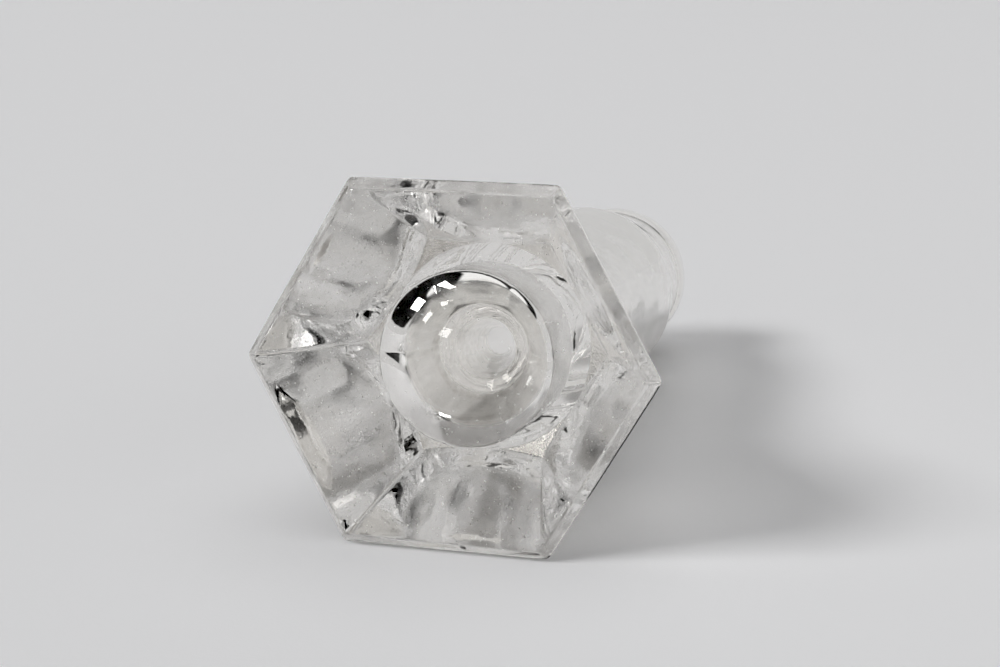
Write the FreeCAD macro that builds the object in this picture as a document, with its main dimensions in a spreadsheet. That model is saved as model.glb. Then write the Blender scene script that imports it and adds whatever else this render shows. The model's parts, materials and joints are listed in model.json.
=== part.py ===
"""Hexagonal-footed glass insulator, lying on its side.

Local frame of every section: Z runs along the axis of the glass from the flat underside of the
foot to the mouth, with two corners of the foot on X. Every section then gets the same resting
placement: the foot's edge and the lip touch the plane Z = 0, and the axis points along +Y and
slightly down. Millimetres.
"""
import FreeCAD, Part
import math
import os
import Sketcher

DOC = FreeCAD.newDocument("glass_insulator")

# Driving dimensions: alias, value in millimetres (counts and shares are plain numbers).
DIMENSIONS = [
    ("foot_flats", 70.0),          # widest hexagon, across its flats
    ("underside_flats", 65.9),     # flat underside, across its flats
    ("draft_height", 2.8),         # drafted edge between the two
    ("plate_height", 3.5),         # top of the foot's rim
    ("rise_flats", 68.6),          # sloping panels where they leave the rim
    ("panel_end_flats", 43.6),     # the same panels at their upper end
    ("panel_end_height", 45.5),
    ("panel_hollow", 0.6),         # how far a panel bows in at the middle of its height
    ("section_height", 49.0),      # end of the bevel above the panels, and the crown's cut plane
    ("stem_radius", 21.0),         # round stem above the bevel
    ("barrel_radius", 22.05),      # round barrel at its thick end
    ("crown_height", 61.0),        # cut plane between the chamber's crown and the barrel
    ("barrel_end_height", 122.5),
    ("neck_radius", 18.2),
    ("neck_height", 143.5),        # end of the shoulder
    ("neck_end_height", 159.0),    # end of the plain neck
    ("lip_radius", 18.9),
    ("total_length", 168.0),
    ("bore_radius", 12.7),         # one inch pin bore
    ("chamber_radius", 17.5),
    ("chamber_floor", 13.0),       # thickness of solid glass under the chamber
    ("chamber_dome_radius", 22.4),
    ("chamber_corner_radius", 4.2),
]

SIDES = 6

sheet = DOC.addObject("Spreadsheet::Sheet", "dims")
for row, (alias, value) in enumerate(DIMENSIONS, start=1):
    sheet.set("A%d" % row, alias)
    sheet.set("B%d" % row, str(value))
    sheet.setAlias("B%d" % row, alias)
DOC.recompute()


def dim(alias):
    """Value of one cell of the sheet."""
    return float(getattr(sheet, alias))


def cells(expression):
    """Expression text in which every alias is read from the sheet."""
    for alias, _ in sorted(DIMENSIONS, key=lambda entry: -len(entry[0])):
        expression = expression.replace("$" + alias, "dims." + alias)
    return expression


def value_of(expression):
    """Number that an expression of aliases gives, for a sketch's first guess."""
    for alias, _ in sorted(DIMENSIONS, key=lambda entry: -len(entry[0])):
        expression = expression.replace("$" + alias, repr(dim(alias)))
    return FreeCAD.Units.Quantity(expression).Value


def bind(obj, **sizes):
    """Bind properties of an object to expressions of the sheet's aliases."""
    for name, expression in sizes.items():
        obj.setExpression(name, cells(expression))


# ---------------------------------------------------------------- solids built from primitives

def hexagon(name, flats, height):
    """Hexagonal wire of a given size across flats, with two corners on X."""
    wire = DOC.addObject("Part::RegularPolygon", name)
    wire.Polygon = SIDES
    bind(wire, Circumradius="(%s) / 2 / cos(180 deg / %d)" % (flats, SIDES))
    wire.setExpression("Placement.Base.z", cells(height))
    return wire


def lofted(name, sections, ruled=True):
    """Solid through hexagonal sections, with straight sides between them or smooth ones."""
    solid = DOC.addObject("Part::Loft", name)
    solid.Sections = sections
    solid.Solid = True
    solid.Ruled = ruled
    return solid


def cylinder(name, radius, bottom, top):
    solid = DOC.addObject("Part::Cylinder", name)
    bind(solid, Radius=radius, Height="(%s) - (%s)" % (top, bottom))
    solid.setExpression("Placement.Base.z", cells(bottom))
    return solid


def cone(name, bottom_radius, top_radius, bottom, top):
    solid = DOC.addObject("Part::Cone", name)
    bind(solid, Radius1=bottom_radius, Radius2=top_radius, Height="(%s) - (%s)" % (top, bottom))
    solid.setExpression("Placement.Base.z", cells(bottom))
    return solid


def cut(name, base, tool):
    solid = DOC.addObject("Part::Cut", name)
    solid.Base = base
    solid.Tool = tool
    return solid


def fuse(name, solids):
    solid = DOC.addObject("Part::MultiFuse", name)
    solid.Shapes = solids
    return solid


def common(name, solids):
    solid = DOC.addObject("Part::MultiCommon", name)
    solid.Shapes = solids
    return solid


# ---------------------------------------------------------------- sections turned from a sketch

def turned(name, outline):
    """PartDesign body revolved about Z.

    outline is a closed list of corners (radius, height, arc radius to the next corner or None,
    arc centre's side): side is +1 where the arc's centre lies left of the run to the next
    corner, and -1 where it lies right of it.
    """
    body = DOC.addObject("PartDesign::Body", name)
    sketch = body.newObject("Sketcher::SketchObject", name + "_outline")
    plane = [f for f in body.Origin.OriginFeatures if f.Role == "XZ_Plane"][0]
    sketch.AttachmentSupport = [(plane, "")]
    sketch.MapMode = "FlatFace"
    points = [FreeCAD.Vector(value_of(r), value_of(z), 0) for r, z, _, _ in outline]
    count = len(outline)
    ends = []
    for i, (_, _, arc_radius, side) in enumerate(outline):
        start, end = points[i], points[(i + 1) % count]
        if arc_radius is None:
            sketch.addGeometry(Part.LineSegment(start, end), False)
            ends.append((1, 2))
            continue
        radius = value_of(arc_radius)
        run = end - start
        left = FreeCAD.Vector(-run.y, run.x, 0) / run.Length
        rise = math.sqrt(max(radius ** 2 - (run.Length / 2) ** 2, 0))
        centre = (start + end) / 2 + left * rise * side
        first = math.atan2(start.y - centre.y, start.x - centre.x)
        last = math.atan2(end.y - centre.y, end.x - centre.x)
        circle = Part.Circle(centre, FreeCAD.Vector(0, 0, 1), radius)
        if side > 0:
            sketch.addGeometry(Part.ArcOfCircle(circle, first, last), False)
            ends.append((1, 2))
        else:
            sketch.addGeometry(Part.ArcOfCircle(circle, last, first), False)
            ends.append((2, 1))
    for i in range(count):
        following = (i + 1) % count
        sketch.addConstraint(Sketcher.Constraint(
            "Coincident", i, ends[i][1], following, ends[following][0]))
    for i, (r, z, arc_radius, _) in enumerate(outline):
        for kind, text, size in (("DistanceX", r, points[i].x), ("DistanceY", z, points[i].y)):
            index = sketch.addConstraint(Sketcher.Constraint(kind, -1, 1, i, ends[i][0], size))
            sketch.setExpression("Constraints[%d]" % index, cells(text))
        if arc_radius is not None:
            index = sketch.addConstraint(Sketcher.Constraint("Radius", i, value_of(arc_radius)))
            sketch.setExpression("Constraints[%d]" % index, cells(arc_radius))
    turn = body.newObject("PartDesign::Revolution", name + "_turn")
    turn.Profile = sketch
    turn.ReferenceAxis = (sketch, ["V_Axis"])
    turn.Angle = 360.0
    body.Tip = turn
    return body


# ---------------------------------------------------------------- resting placement

def resting_placement():
    """Placement of the lying glass: foot edge and lip on Z = 0, middle of the box over the origin."""
    half = dim("foot_flats") / 2
    edge_height = dim("plate_height")
    tube = (dim("lip_radius") - dim("bore_radius")) / 2
    ring = dim("lip_radius") - tube
    ring_height = dim("total_length") - tube
    drop, reach = half - ring, ring_height - edge_height
    tilt = math.acos(tube / math.hypot(drop, reach)) - math.atan2(reach, drop)
    sin_tilt, cos_tilt = math.sin(tilt), math.cos(tilt)
    axis_height = half * cos_tilt + edge_height * sin_tilt
    near = -dim("underside_flats") / 2 * sin_tilt
    far = ring_height * cos_tilt + ring * sin_tilt + tube
    position = FreeCAD.Vector(0, -(near + far) / 2, axis_height)
    rotation = FreeCAD.Rotation(FreeCAD.Vector(1, 0, 0), -(90 + math.degrees(tilt)))
    return FreeCAD.Placement(position, rotation), tilt


# ---------------------------------------------------------------- the chamber in the foot

def chamber_hollow(tag):
    """Air chamber: a cylinder closed by domes, with a rounded lower corner."""
    centre = "$chamber_floor + $chamber_dome_radius"
    dome = DOC.addObject("Part::Sphere", "chamber_dome_" + tag)
    bind(dome, Radius="$chamber_dome_radius")
    dome.setExpression("Placement.Base.z", cells(centre))
    tube = cylinder("chamber_tube_" + tag, "$chamber_radius", "0", "$crown_height")
    hollow = common("chamber_sharp_" + tag, [dome, tube])
    DOC.recompute()
    rounded = DOC.addObject("Part::Fillet", "chamber_hollow_" + tag)
    rounded.Base = hollow
    size = dim("chamber_corner_radius")
    rounded.Edges = [(index, size, size) for index, edge in enumerate(hollow.Shape.Edges, start=1)
                     if is_lower_corner(edge)]
    return rounded


def is_lower_corner(edge):
    """True for the circle where the lower dome meets the chamber's straight wall."""
    if edge.Degenerated or not isinstance(edge.Curve, Part.Circle):
        return False
    middle = dim("chamber_floor") + dim("chamber_dome_radius")
    circle = edge.Curve
    return circle.Center.z < middle and abs(circle.Radius - dim("chamber_radius")) < 1e-3


# ---------------------------------------------------------------- the named sections

def make_foot_plate():
    """Hexagonal rim of the foot: flat underside and a drafted edge."""
    return lofted("foot_plate", [
        hexagon("underside_hexagon", "$underside_flats", "0"),
        hexagon("widest_hexagon", "$foot_flats", "$draft_height"),
        hexagon("rim_hexagon", "$foot_flats", "$plate_height"),
    ])


def panel_section(number, share):
    """Hexagon across the six panels at a share of their height."""
    flats = "$rise_flats + ($panel_end_flats - $rise_flats) * (%s)" % share
    hollow = "8 * $panel_hollow * (%s) * (1 - (%s))" % (share, share)
    height = "$plate_height + ($panel_end_height - $plate_height) * (%s)" % share
    return hexagon("panel_hexagon_%d" % number, "%s - %s" % (flats, hollow), height)


def panel_bevel():
    """Cone that bevels the corners of the panels' upper end down to the stem."""
    corner = "$panel_end_flats / 2 / cos(180 deg / %d)" % SIDES
    slope = "(%s - $stem_radius) / ($section_height - $panel_end_height)" % corner
    wide = "$stem_radius + ($section_height - $plate_height) * %s" % slope
    return cone("panel_bevel", wide, "$stem_radius", "$plate_height", "$section_height")


def make_foot_rise():
    """Six sloping, slightly hollow panels, bevelled off onto the round stem over the chamber."""
    top_share = "($section_height - $plate_height) / ($panel_end_height - $plate_height)"
    shares = ["0", "0.25", "0.5", "0.75", top_share]
    pyramid = lofted("panel_pyramid", [panel_section(i, share) for i, share in enumerate(shares)],
                     ruled=False)
    panels = common("bevelled_pyramid", [pyramid, panel_bevel()])
    stem = cylinder("stem", "$stem_radius", "$plate_height", "$section_height")
    solid = fuse("solid_rise", [panels, stem])
    return cut("foot_rise", solid, chamber_hollow("foot"))


def make_chamber_crown():
    """Closing dome of the chamber, where it narrows to the bore."""
    wall = cone("crown_wall", "$stem_radius", crown_top_radius(), "$section_height", "$crown_height")
    bore = cylinder("crown_bore", "$bore_radius", "$section_height", "$crown_height")
    hollow = fuse("crown_hollow", [bore, chamber_hollow("crown")])
    return cut("chamber_crown", wall, hollow)


def crown_top_radius():
    """Radius of the slightly conical barrel at the crown's end."""
    share = "($crown_height - $section_height) / ($barrel_end_height - $section_height)"
    return "$stem_radius + ($barrel_radius - $stem_radius) * %s" % share


def make_barrel():
    """Thick round barrel around the pin bore."""
    return turned("barrel", [
        ("$bore_radius", "$crown_height", None, 0),
        (crown_top_radius(), "$crown_height", None, 0),
        ("$barrel_radius", "$barrel_end_height", None, 0),
        ("$bore_radius", "$barrel_end_height", None, 0),
    ])


def make_shoulder():
    """Shoulder that eases in from the barrel to the neck in an S of two equal arcs."""
    drop = "($barrel_radius - $neck_radius)"
    run = "($neck_height - $barrel_end_height)"
    arc = "(%s * %s + %s * %s) / (4 * %s)" % (run, run, drop, drop, drop)
    return turned("shoulder", [
        ("$bore_radius", "$barrel_end_height", None, 0),
        ("$barrel_radius", "$barrel_end_height", arc, 1),
        ("($barrel_radius + $neck_radius) / 2", "($barrel_end_height + $neck_height) / 2", arc, -1),
        ("$neck_radius", "$neck_height", None, 0),
        ("$bore_radius", "$neck_height", None, 0),
    ])


def make_neck():
    """Plain round neck between the shoulder and the lip, which holds a tie wire."""
    return turned("neck", [
        ("$bore_radius", "$neck_height", None, 0),
        ("$neck_radius", "$neck_height", None, 0),
        ("$neck_radius", "$neck_end_height", None, 0),
        ("$bore_radius", "$neck_end_height", None, 0),
    ])


def make_lip_ring():
    """Lip with a fully rounded mouth."""
    tube = "($lip_radius - $bore_radius) / 2"
    step = "($lip_radius - $neck_radius)"
    return turned("lip_ring", [
        ("$bore_radius", "$neck_end_height", None, 0),
        ("$neck_radius", "$neck_end_height", None, 0),
        ("$lip_radius", "$neck_end_height + 2 * %s" % step, None, 0),
        ("$lip_radius", "$total_length - %s" % tube, tube, 1),
        ("$lip_radius - %s" % tube, "$total_length", tube, 1),
        ("$bore_radius", "$total_length - %s" % tube, None, 0),
    ])


MAKERS = [make_foot_plate, make_foot_rise, make_chamber_crown, make_barrel, make_shoulder,
          make_neck, make_lip_ring]


def check(nodes):
    """Stop if any object failed or any section isn't one valid solid."""
    for obj in DOC.Objects:
        if "Invalid" in obj.State or "Error" in obj.State:
            raise RuntimeError("%s failed: %s" % (obj.Name, obj.State))
    for node in nodes:
        shape = node.Shape
        if shape.isNull() or not shape.isValid() or len(shape.Solids) != 1:
            raise RuntimeError("%s has no single valid solid" % node.Name)


def main():
    nodes = [make() for make in MAKERS]
    DOC.recompute()
    placement, tilt = resting_placement()
    for node in nodes:
        node.Label = node.Name
        node.Placement = placement
    DOC.recompute()
    check(nodes)
    print("tilt %.4f degrees" % math.degrees(tilt))
    print("underside centre", tuple(round(c, 4) for c in placement.Base))
    box = FreeCAD.BoundBox()
    os.makedirs("parts", exist_ok=True)
    for node in nodes:
        box.add(node.Shape.optimalBoundingBox(False))
        node.Shape.exportStep(os.path.join("parts", node.Label + ".step"))
        print("%-14s %9.1f mm3" % (node.Label, node.Shape.Volume))
    print("box", [round(v, 3) for v in (box.XMin, box.YMin, box.ZMin, box.XMax, box.YMax, box.ZMax)])


main()
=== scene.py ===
"""Clear pressed-glass insulator lying on a pale table, seen from under its hexagonal foot.

The seven CAD sections are one real piece of glass, so one closed mesh stands for all of them:
rings of columns that run from the middle of the underside, over the outside to the mouth, and
down the bore to the floor of the chamber. Sizes are in millimetres in the glass's own frame.
"""
import json
import math
from collections import namedtuple

import bpy
import numpy as np
from mathutils import Matrix, Vector, noise


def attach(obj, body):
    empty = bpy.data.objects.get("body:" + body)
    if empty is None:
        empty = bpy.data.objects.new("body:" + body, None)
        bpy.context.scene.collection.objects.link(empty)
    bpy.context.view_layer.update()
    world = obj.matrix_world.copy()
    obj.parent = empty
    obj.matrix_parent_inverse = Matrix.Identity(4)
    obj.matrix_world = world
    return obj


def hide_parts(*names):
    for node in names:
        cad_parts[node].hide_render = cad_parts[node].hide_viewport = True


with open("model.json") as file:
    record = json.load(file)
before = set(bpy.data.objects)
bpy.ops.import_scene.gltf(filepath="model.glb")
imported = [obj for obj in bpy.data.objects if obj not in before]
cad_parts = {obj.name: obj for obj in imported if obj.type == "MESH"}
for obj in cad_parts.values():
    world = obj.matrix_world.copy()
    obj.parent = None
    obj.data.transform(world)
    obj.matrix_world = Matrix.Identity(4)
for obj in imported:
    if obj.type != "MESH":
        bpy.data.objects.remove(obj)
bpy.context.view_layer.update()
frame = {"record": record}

MM = 0.001
NODES = ("foot_plate", "foot_rise", "chamber_crown", "barrel", "shoulder", "neck", "lip_ring")

# ------------------------------------------------------------------ sizes of the CAD model
SIDES = 6
FOOT_FLATS = 70.0            # widest hexagon, across flats
UNDERSIDE_FLATS = 65.9       # flat underside, across flats
DRAFT_HEIGHT = 2.8
PLATE_HEIGHT = 3.5
RISE_FLATS = 68.6            # where the sloping panels leave the rim
PANEL_END_FLATS = 43.6
PANEL_END_HEIGHT = 45.5
PANEL_HOLLOW = 0.6
SECTION_HEIGHT = 49.0        # end of the bevel above the panels
STEM_RADIUS = 21.0
BARREL_RADIUS = 22.05
BARREL_END = 122.5
NECK_RADIUS = 18.2
NECK_START = 143.5
NECK_END = 159.0
LIP_RADIUS = 18.9
TOTAL_LENGTH = 168.0
BORE_RADIUS = 12.7
CHAMBER_RADIUS = 17.5
CHAMBER_FLOOR = 13.0
DOME_RADIUS = 22.4
CHAMBER_CORNER = 4.2
EDGE_SOFTNESS = 0.25         # rounding of the rim's edges
WIDEST_EASE = 0.1            # taken off the widest hexagon where its draft ends
LIP_RISE = 1.4               # height over which the neck swells to the lip
CROWN_EASE = 2               # bore and wall next to the crown that are eased with it
CROWN_SOFTNESS = 3           # passes that ease the chamber's upper edges

# ------------------------------------------------------------------ finish of each surface
# roughness; depth of the slow ripple and its length round and along the axis; depth of the fine
# bump, its length across and how many times longer it is along the axis; share of dark stain;
# share of dust. All lengths are in millimetres.
Finish = namedtuple("Finish", "roughness depth around along bump grain stretch stain dust")
FINISHES = {
    "polished_underside": Finish(0.0, 0.0, 9.0, 9.0, 0.004, 0.9, 1.0, 0.0, 0.6),
    "pressed_panels": Finish(0.02, 0.06, 5.0, 8.0, 0.012, 1.2, 3.0, 0.1, 0.3),
    "ground_bevel": Finish(0.03, 0.05, 2.5, 9.0, 0.060, 0.4, 14.0, 0.7, 0.3),
    "pressed_stem": Finish(0.02, 0.10, 9.0, 16.0, 0.004, 1.5, 4.0, 0.05, 0.2),
    "drawn_bore": Finish(0.02, 0.10, 5.0, 12.0, 0.004, 1.0, 6.0, 0.05, 0.0),
    "pressed_crown": Finish(0.0, 0.07, 5.0, 5.0, 0.004, 1.0, 1.0, 0.0, 0.0),
    "chamber_wall": Finish(0.26, 0.13, 2.2, 6.0, 0.030, 0.6, 4.0, 0.3, 0.3),
    "chamber_floor": Finish(0.0, 0.0, 9.0, 9.0, 0.002, 1.5, 1.0, 0.0, 0.0),
}
GLASS_IOR = 1.52
GLASS_TINT = (0.975, 0.963, 0.94, 1)
STAIN_COLOUR = (0.30, 0.27, 0.22, 1)
STAIN_LENGTH = 3.0
STAIN_DETAIL = 4.0
BUMP_DETAIL = 2.0
STAIN_EDGE = (0.30, 0.75)
WORN_EDGE = (0.56, 0.66)     # pointiness where the wear of an edge starts and is full
WORN_ROUGHNESS = 0.25
DUST_COLOUR = (0.9, 0.9, 0.88, 1)
DUST_LENGTH = 0.5
DUST_EDGE = (0.78, 0.82)

Ring = namedtuple("Ring", "radii height finish")

# ------------------------------------------------------------------ table
TABLE_COLOUR = (0.89, 0.89, 0.90, 1)
TABLE_ROUGHNESS = 0.7
TABLE_GRAIN = 0.8            # length of its tooth, and the depth, in millimetres
TABLE_BUMP = 0.03
TABLE_DETAIL = 3.0
TABLE_HALF = 3.0             # metres from its middle to each edge

# ------------------------------------------------------------------ light (directions in the scene)
KEY_DIRECTION = Vector((-0.628, -0.437, 0.643))
KEY_DISTANCE = 60.0
KEY_AIM = (0, 0, 0.02)
KEY_SIZE = (24.0, 16.0)
KEY_POWER = 18500.0
PALE_WALL = 0.61             # light of the paper all round
WALL_EDGE = (0.52, 0.58)     # height of a direction where it ends
CEILING_EDGE = (0.76, 0.84)  # and where the paper overhead starts
PALE_CEILING = 0.95
DARK_ROOM = 0.004            # light of the gap between them and of the opening on the left
DARK_SIDE = Vector((-0.86, 0.08, 0.50))
SILL_EDGE = (0.13, 0.15)     # height of a direction where the opening starts, above pale paper
DARK_EDGE = (0.72, 0.78)     # cosine of the angle to its middle, at its outer and inner edge

# ------------------------------------------------------------------ camera and picture
CAMERA_AZIMUTH = 14.77
CAMERA_ELEVATION = 13.86
CAMERA_DISTANCE = 0.3338
CAMERA_AIM = Vector((0.0095, -0.0785, 0.0418))
CAMERA_LENS = 64.8
CLIP_START = 0.01
BLACK_LEVEL = 0.05
BOUNCES = 24

# ------------------------------------------------------------------ rings of the mesh
UNDERSIDE_RINGS = 26
DRAFT_RINGS = 6
PANEL_RINGS = 110
BEVEL_RINGS = 30
BARREL_RINGS = 50
SHOULDER_RINGS = 24
NECK_RINGS = 10
LIP_RINGS = 8
MOUTH_RINGS = 24
BORE_RINGS = 50
BORE_END_RINGS = 8
CROWN_RINGS = 20
WALL_TOP_RINGS = 9
WALL_RINGS = 40
CORNER_RINGS = 20
FLOOR_RINGS = 30
CENTRE_SHARE = 0.02          # innermost ring of the underside, as a share of its outline
CENTRE_TURN = 0.02           # innermost ring of the chamber's floor, as an angle
PANELS_FROM = PLATE_HEIGHT + 0.02
PANELS_TO = PANEL_END_HEIGHT - 0.5
BEVEL_FROM = PANEL_END_HEIGHT - 0.4

# ------------------------------------------------------------------ mesh columns
SIDE_ANGLE = 2 * math.pi / SIDES
HALF_SIDE = SIDE_ANGLE / 2
CORNER_SOFTNESS = math.radians(1.2)
PANEL_COLUMNS = 32
# columns of one side, by their angle from its middle, closer together at its corners
COLUMNS = np.concatenate([
    [-HALF_SIDE, -HALF_SIDE + CORNER_SOFTNESS / 2],
    np.linspace(-HALF_SIDE + CORNER_SOFTNESS, HALF_SIDE - CORNER_SOFTNESS, PANEL_COLUMNS),
    [HALF_SIDE - CORNER_SOFTNESS / 2]])
FROM_SIDE = np.tile(COLUMNS, SIDES)
THETA = FROM_SIDE + np.repeat(np.arange(SIDES) + 0.5, len(COLUMNS)) * SIDE_ANGLE
AROUND = len(THETA)


# ------------------------------------------------------------------ outline of the glass

def hexagon(flats):
    """Distance from the axis to a hexagon's outline, for every column, with eased corners."""
    inside = HALF_SIDE - np.abs(FROM_SIDE)
    eased_angle = HALF_SIDE - np.sqrt(inside ** 2 + (CORNER_SOFTNESS / 2) ** 2)
    return flats / 2 / np.cos(eased_angle)


def circle(radius):
    """The same distance from the axis for every column."""
    return np.full(AROUND, float(radius))


def panel_outline(height):
    """Foot above its rim: sloping hollow panels, bevelled off above onto the round stem."""
    share = (height - PLATE_HEIGHT) / (PANEL_END_HEIGHT - PLATE_HEIGHT)
    flats = RISE_FLATS + (PANEL_END_FLATS - RISE_FLATS) * share
    panels = hexagon(flats - 8 * PANEL_HOLLOW * share * (1 - share))
    corner = PANEL_END_FLATS / 2 / math.cos(HALF_SIDE)
    drop = (height - PANEL_END_HEIGHT) / (SECTION_HEIGHT - PANEL_END_HEIGHT)
    bevel = corner - (corner - STEM_RADIUS) * drop
    return np.maximum(np.minimum(panels, bevel), STEM_RADIUS)


def eased(start, end, share):
    """Smooth step from start to end as share goes from 0 to 1."""
    return start + (end - start) * (1 - math.cos(math.pi * share)) / 2


def foot_rings():
    """Underside, drafted rim and panels."""
    rings = [Ring(hexagon(UNDERSIDE_FLATS - 2 * EDGE_SOFTNESS) * share, 0.0, "polished_underside")
             for share in np.linspace(CENTRE_SHARE, 1.0, UNDERSIDE_RINGS)]
    draft = (FOOT_FLATS - UNDERSIDE_FLATS) / DRAFT_HEIGHT
    rings.append(Ring(hexagon(UNDERSIDE_FLATS), EDGE_SOFTNESS * 0.5, "polished_underside"))
    for height in np.linspace(EDGE_SOFTNESS * 1.5, DRAFT_HEIGHT - EDGE_SOFTNESS, DRAFT_RINGS):
        rings.append(Ring(hexagon(UNDERSIDE_FLATS + draft * height), height, "pressed_panels"))
    for flats, height in ((FOOT_FLATS - WIDEST_EASE, DRAFT_HEIGHT),
                          (FOOT_FLATS, DRAFT_HEIGHT + EDGE_SOFTNESS),
                          (FOOT_FLATS, PLATE_HEIGHT - EDGE_SOFTNESS),
                          (FOOT_FLATS - 2 * EDGE_SOFTNESS, PLATE_HEIGHT)):
        rings.append(Ring(hexagon(flats), height, "pressed_panels"))
    for height in np.linspace(PANELS_FROM, PANELS_TO, PANEL_RINGS):
        rings.append(Ring(panel_outline(height), height, "pressed_panels"))
    for height in np.linspace(BEVEL_FROM, SECTION_HEIGHT, BEVEL_RINGS):
        rings.append(Ring(panel_outline(height), height, "ground_bevel"))
    return rings


def stem_rings():
    """Barrel, shoulder and neck up to the lip's widest ring."""
    rings = []
    for share in np.linspace(0, 1, BARREL_RINGS)[1:]:
        height = SECTION_HEIGHT + (BARREL_END - SECTION_HEIGHT) * share
        radius = STEM_RADIUS + (BARREL_RADIUS - STEM_RADIUS) * share
        rings.append(Ring(circle(radius), height, "pressed_stem"))
    for share in np.linspace(0, 1, SHOULDER_RINGS)[1:]:
        height = BARREL_END + (NECK_START - BARREL_END) * share
        radius = eased(BARREL_RADIUS, NECK_RADIUS, share)
        rings.append(Ring(circle(radius), height, "pressed_stem"))
    for height in np.linspace(NECK_START, NECK_END, NECK_RINGS)[1:]:
        rings.append(Ring(circle(NECK_RADIUS), height, "pressed_stem"))
    for share in np.linspace(0, 1, LIP_RINGS)[1:]:
        radius = eased(NECK_RADIUS, LIP_RADIUS, share)
        rings.append(Ring(circle(radius), NECK_END + LIP_RISE * share, "pressed_stem"))
    return rings


def mouth_rings():
    """Rounded mouth from the outside of the lip to the bore."""
    tube = (LIP_RADIUS - BORE_RADIUS) / 2
    middle = LIP_RADIUS - tube
    return [Ring(circle(middle + tube * math.cos(turn)),
                 TOTAL_LENGTH - tube + tube * math.sin(turn), "pressed_stem")
            for turn in np.linspace(0, math.pi, MOUTH_RINGS)]


def softened(profile, passes):
    """Round the corners of a list of (radius, height) points."""
    points = np.array(profile)
    for _ in range(passes):
        points[1:-1] = (points[:-2] + 2 * points[1:-1] + points[2:]) / 4
    return points


def hollow_rings():
    """Inside of the glass from the mouth down to the chamber's floor."""
    centre = CHAMBER_FLOOR + DOME_RADIUS
    crown = centre + math.sqrt(DOME_RADIUS ** 2 - BORE_RADIUS ** 2)
    wall_top = centre + math.sqrt(DOME_RADIUS ** 2 - CHAMBER_RADIUS ** 2)
    corner_out = CHAMBER_RADIUS - CHAMBER_CORNER
    drop = math.sqrt((DOME_RADIUS - CHAMBER_CORNER) ** 2 - corner_out ** 2)
    wall_end = centre - drop
    start = TOTAL_LENGTH - (LIP_RADIUS - BORE_RADIUS) / 2
    rings = [Ring(circle(BORE_RADIUS), height, "drawn_bore")
             for height in np.linspace(start, crown + CROWN_EASE, BORE_RINGS)[1:]]
    profile = [(BORE_RADIUS, height)
               for height in np.linspace(crown + CROWN_EASE, crown, BORE_END_RINGS)[1:]]
    for height in np.linspace(crown, wall_top, CROWN_RINGS)[1:]:
        profile.append((math.sqrt(DOME_RADIUS ** 2 - (height - centre) ** 2), height))
    wall_start = wall_top - CROWN_EASE
    profile += [(CHAMBER_RADIUS, height)
                for height in np.linspace(wall_top, wall_start, WALL_TOP_RINGS)[1:]]
    for radius, height in softened(profile, CROWN_SOFTNESS):
        rings.append(Ring(circle(radius), height, "pressed_crown"))
    for height in np.linspace(wall_start, wall_end, WALL_RINGS)[1:]:
        rings.append(Ring(circle(CHAMBER_RADIUS), height, "chamber_wall"))
    contact = math.atan2(corner_out, drop)
    for turn in np.linspace(0, math.pi / 2 - contact, CORNER_RINGS)[1:]:
        rings.append(Ring(circle(corner_out + CHAMBER_CORNER * math.cos(turn)),
                          wall_end - CHAMBER_CORNER * math.sin(turn), "chamber_floor"))
    for turn in np.linspace(contact, CENTRE_TURN, FLOOR_RINGS)[1:]:
        rings.append(Ring(circle(DOME_RADIUS * math.sin(turn)),
                          centre - DOME_RADIUS * math.cos(turn), "chamber_floor"))
    return rings


# ------------------------------------------------------------------ mesh

def rippled(ring):
    """Points of a ring, moved in or out by the slow ripple of its surface."""
    finish = FINISHES[ring.finish]
    radii = ring.radii
    if finish.depth:
        ripple = [noise.noise(Vector((r * math.cos(turn) / finish.around,
                                      r * math.sin(turn) / finish.around,
                                      ring.height / finish.along)))
                  for r, turn in zip(radii, THETA)]
        radii = radii + finish.depth * np.array(ripple)
    return np.stack([radii * np.cos(THETA), radii * np.sin(THETA), circle(ring.height)], 1)


def glass_frame():
    """Matrix from the glass's own frame (axis on Z, underside at 0, millimetres) to the scene."""
    mount = next(m for m in frame["record"]["mounts"] if m["name"] == "underside")
    along = -Vector(mount["axis"]).normalized()
    across = Vector((1, 0, 0))
    down = along.cross(across)
    matrix = Matrix((across, down, along)).transposed().to_4x4() @ Matrix.Scale(MM, 4)
    matrix.translation = Vector(mount["pos_m"])
    return matrix


def closed_mesh(name, rings, last_centre):
    """Closed mesh through the rings, capped at the underside and at the chamber's floor."""
    centres = [(0, 0, 0), (0, 0, last_centre)]
    vertices = np.concatenate([rippled(ring) for ring in rings] + [centres])
    slots = {finish: slot for slot, finish in enumerate(FINISHES)}
    faces, finishes = [], []
    following = np.roll(np.arange(AROUND), -1)
    for i, ring in enumerate(rings[:-1]):
        near, far = i * AROUND, (i + 1) * AROUND
        faces += [(near + j, near + k, far + k, far + j) for j, k in enumerate(following)]
        finishes += [slots[ring.finish]] * AROUND
    first, last = len(vertices) - 2, len(vertices) - 1
    final = (len(rings) - 1) * AROUND
    faces += [(first, k, j) for j, k in enumerate(following)]
    finishes += [slots[rings[0].finish]] * AROUND
    faces += [(last, final + j, final + k) for j, k in enumerate(following)]
    finishes += [slots[rings[-1].finish]] * AROUND
    mesh = bpy.data.meshes.new(name)
    mesh.from_pydata(vertices.tolist(), [], [tuple(int(v) for v in face) for face in faces])
    mesh.polygons.foreach_set("material_index", finishes)
    mesh.polygons.foreach_set("use_smooth", [True] * len(faces))
    mesh.update()
    return mesh


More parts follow.
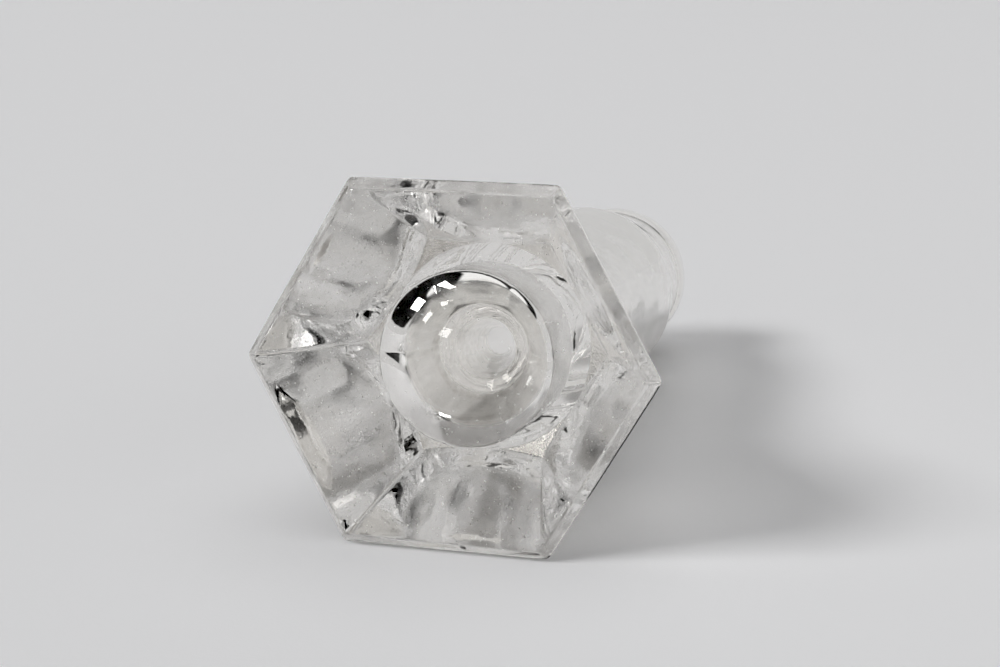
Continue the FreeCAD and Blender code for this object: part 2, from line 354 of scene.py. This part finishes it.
def make_glass():
    """The whole glass as one object, with a material for each finish."""
    rings = foot_rings() + stem_rings() + mouth_rings()[1:] + hollow_rings()
    mesh = closed_mesh("glass_body", rings, CHAMBER_FLOOR)
    mesh.transform(glass_frame())
    obj = bpy.data.objects.new("glass_body", mesh)
    bpy.context.scene.collection.objects.link(obj)
    for name, finish in FINISHES.items():
        mesh.materials.append(glass_material(name, finish))
    return obj


# ------------------------------------------------------------------ materials

def node_tree(owner):
    """Emptied node tree of a material or a world."""
    owner.use_nodes = True
    tree = owner.node_tree
    tree.nodes.clear()
    return tree


def noise_texture(tree, length, stretch, detail):
    """Noise of a given length in millimetres, drawn out along the glass's axis."""
    where = tree.nodes.new("ShaderNodeTexCoord")
    squeeze = tree.nodes.new("ShaderNodeVectorMath")
    squeeze.operation = "MULTIPLY"
    squeeze.inputs[1].default_value = (1.0, 1.0 / stretch, 1.0)
    texture = tree.nodes.new("ShaderNodeTexNoise")
    texture.inputs["Scale"].default_value = 1 / (length * MM)
    texture.inputs["Detail"].default_value = detail
    tree.links.new(where.outputs["Object"], squeeze.inputs[0])
    tree.links.new(squeeze.outputs[0], texture.inputs["Vector"])
    return texture.outputs["Fac"]


def smooth_edge(tree, value, low, high, start=0.0, end=1.0):
    """Goes smoothly from start at low to end at high."""
    span = tree.nodes.new("ShaderNodeMapRange")
    span.interpolation_type = "SMOOTHSTEP"
    span.inputs["From Min"].default_value = low
    span.inputs["From Max"].default_value = high
    span.inputs["To Min"].default_value = start
    span.inputs["To Max"].default_value = end
    tree.links.new(value, span.inputs["Value"])
    return span.outputs[0]


def mixed_colour(tree, factor, first, second):
    """Colour that goes from the first at factor 0 to the second at factor 1."""
    colour = tree.nodes.new("ShaderNodeMix")
    colour.data_type = "RGBA"
    colour.inputs["A"].default_value = first
    colour.inputs["B"].default_value = second
    tree.links.new(factor, colour.inputs["Factor"])
    return colour.outputs["Result"]


def glass_material(name, finish):
    """Clear glass with cloudy stains, fine bumps, worn edges and a little dust."""
    material = bpy.data.materials.new(name)
    tree = node_tree(material)
    output = tree.nodes.new("ShaderNodeOutputMaterial")
    shader = tree.nodes.new("ShaderNodeBsdfPrincipled")
    shader.inputs["IOR"].default_value = GLASS_IOR
    shader.inputs["Transmission Weight"].default_value = 1.0
    stains = noise_texture(tree, STAIN_LENGTH, finish.stretch, STAIN_DETAIL)
    stained = smooth_edge(tree, stains, *STAIN_EDGE, 0.0, finish.stain)
    tree.links.new(mixed_colour(tree, stained, GLASS_TINT, STAIN_COLOUR),
                   shader.inputs["Base Color"])
    edges = tree.nodes.new("ShaderNodeNewGeometry").outputs["Pointiness"]
    worn = smooth_edge(tree, edges, *WORN_EDGE, finish.roughness, WORN_ROUGHNESS)
    tree.links.new(worn, shader.inputs["Roughness"])
    bump = tree.nodes.new("ShaderNodeBump")
    bump.inputs["Distance"].default_value = finish.bump * MM
    bump.inputs["Strength"].default_value = 1.0
    grain = noise_texture(tree, finish.grain, finish.stretch, BUMP_DETAIL)
    tree.links.new(grain, bump.inputs["Height"])
    tree.links.new(bump.outputs["Normal"], shader.inputs["Normal"])
    dust = tree.nodes.new("ShaderNodeBsdfDiffuse")
    dust.inputs["Color"].default_value = DUST_COLOUR
    dusty = tree.nodes.new("ShaderNodeMixShader")
    specks = noise_texture(tree, DUST_LENGTH, 1.0, 0.0)
    tree.links.new(smooth_edge(tree, specks, *DUST_EDGE, 0.0, finish.dust), dusty.inputs["Fac"])
    tree.links.new(shader.outputs["BSDF"], dusty.inputs[1])
    tree.links.new(dust.outputs["BSDF"], dusty.inputs[2])
    tree.links.new(dusty.outputs[0], output.inputs["Surface"])
    return material


def floor_material():
    """Plain pale paper with a fine tooth."""
    material = bpy.data.materials.new("pale_table")
    tree = node_tree(material)
    output = tree.nodes.new("ShaderNodeOutputMaterial")
    shader = tree.nodes.new("ShaderNodeBsdfPrincipled")
    shader.inputs["Base Color"].default_value = TABLE_COLOUR
    shader.inputs["Roughness"].default_value = TABLE_ROUGHNESS
    bump = tree.nodes.new("ShaderNodeBump")
    bump.inputs["Distance"].default_value = TABLE_BUMP * MM
    tooth = noise_texture(tree, TABLE_GRAIN, 1.0, TABLE_DETAIL)
    tree.links.new(tooth, bump.inputs["Height"])
    tree.links.new(bump.outputs["Normal"], shader.inputs["Normal"])
    tree.links.new(shader.outputs["BSDF"], output.inputs["Surface"])
    return material


# ------------------------------------------------------------------ stage, light and camera

def make_floor():
    """Square table top at height 0."""
    mesh = bpy.data.meshes.new("table")
    mesh.from_pydata([(-TABLE_HALF, -TABLE_HALF, 0), (TABLE_HALF, -TABLE_HALF, 0),
                      (TABLE_HALF, TABLE_HALF, 0), (-TABLE_HALF, TABLE_HALF, 0)], [],
                     [(0, 1, 2, 3)])
    obj = bpy.data.objects.new("table", mesh)
    bpy.context.scene.collection.objects.link(obj)
    mesh.materials.append(floor_material())
    return obj


def area_light(name, place, target, size, power):
    """Rectangular light at a place, facing a target."""
    light = bpy.data.lights.new(name, "AREA")
    light.shape = "RECTANGLE"
    light.size, light.size_y = size
    light.energy = power
    obj = bpy.data.objects.new(name, light)
    bpy.context.scene.collection.objects.link(obj)
    obj.location = place
    obj.rotation_euler = (Vector(target) - Vector(place)).to_track_quat("-Z", "Y").to_euler()
    return obj


def make_world():
    """Pale paper all round and overhead, a dark gap between, and a dark opening on the left."""
    world = bpy.data.worlds.new("studio")
    bpy.context.scene.world = world
    tree = node_tree(world)
    output = tree.nodes.new("ShaderNodeOutputWorld")
    background = tree.nodes.new("ShaderNodeBackground")
    where = tree.nodes.new("ShaderNodeTexCoord")
    split = tree.nodes.new("ShaderNodeSeparateXYZ")
    tree.links.new(where.outputs["Generated"], split.inputs[0])
    high = split.outputs["Z"]
    wall = smooth_edge(tree, high, *WALL_EDGE, PALE_WALL, DARK_ROOM)
    ceiling = smooth_edge(tree, high, *CEILING_EDGE, 0.0, PALE_CEILING)
    paper = tree.nodes.new("ShaderNodeMath")
    paper.operation = "MAXIMUM"
    tree.links.new(wall, paper.inputs[0])
    tree.links.new(ceiling, paper.inputs[1])
    towards = tree.nodes.new("ShaderNodeVectorMath")
    towards.operation = "DOT_PRODUCT"
    towards.inputs[1].default_value = DARK_SIDE
    tree.links.new(where.outputs["Generated"], towards.inputs[0])
    sideways = smooth_edge(tree, towards.outputs["Value"], *DARK_EDGE)
    opening = tree.nodes.new("ShaderNodeMath")
    opening.operation = "MULTIPLY"
    tree.links.new(sideways, opening.inputs[0])
    tree.links.new(smooth_edge(tree, high, *SILL_EDGE), opening.inputs[1])
    light = tree.nodes.new("ShaderNodeMix")
    light.inputs["B"].default_value = DARK_ROOM
    tree.links.new(opening.outputs[0], light.inputs["Factor"])
    tree.links.new(paper.outputs[0], light.inputs["A"])
    tree.links.new(light.outputs["Result"], background.inputs["Color"])
    tree.links.new(background.outputs[0], output.inputs[0])


def make_camera():
    """Camera that looks at its aim from the given azimuth and elevation."""
    azimuth, elevation = math.radians(CAMERA_AZIMUTH), math.radians(CAMERA_ELEVATION)
    level = math.cos(elevation)
    away = Vector((math.sin(azimuth) * level, -math.cos(azimuth) * level, math.sin(elevation)))
    camera = bpy.data.cameras.new("camera")
    camera.lens = CAMERA_LENS
    camera.clip_start = CLIP_START
    obj = bpy.data.objects.new("camera", camera)
    bpy.context.scene.collection.objects.link(obj)
    obj.location = CAMERA_AIM + away * CAMERA_DISTANCE
    obj.rotation_euler = (-away).to_track_quat("-Z", "Y").to_euler()
    bpy.context.scene.camera = obj


def set_picture():
    """Enough bounces for thick glass, and a slightly lowered black level."""
    scene = bpy.context.scene
    scene.cycles.use_denoising = True
    scene.cycles.max_bounces = BOUNCES
    scene.cycles.transmission_bounces = BOUNCES
    scene.cycles.glossy_bounces = BOUNCES
    view = scene.view_settings
    view.view_transform = "Standard"
    view.use_curve_mapping = True
    view.curve_mapping.black_level = (BLACK_LEVEL, BLACK_LEVEL, BLACK_LEVEL)
    view.curve_mapping.update()


def main():
    set_picture()
    make_camera()
    make_world()
    make_floor()
    area_light("softbox", KEY_DIRECTION * KEY_DISTANCE, KEY_AIM, KEY_SIZE, KEY_POWER)
    glass = make_glass()
    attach(glass, "root")
    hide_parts(*NODES)


main()
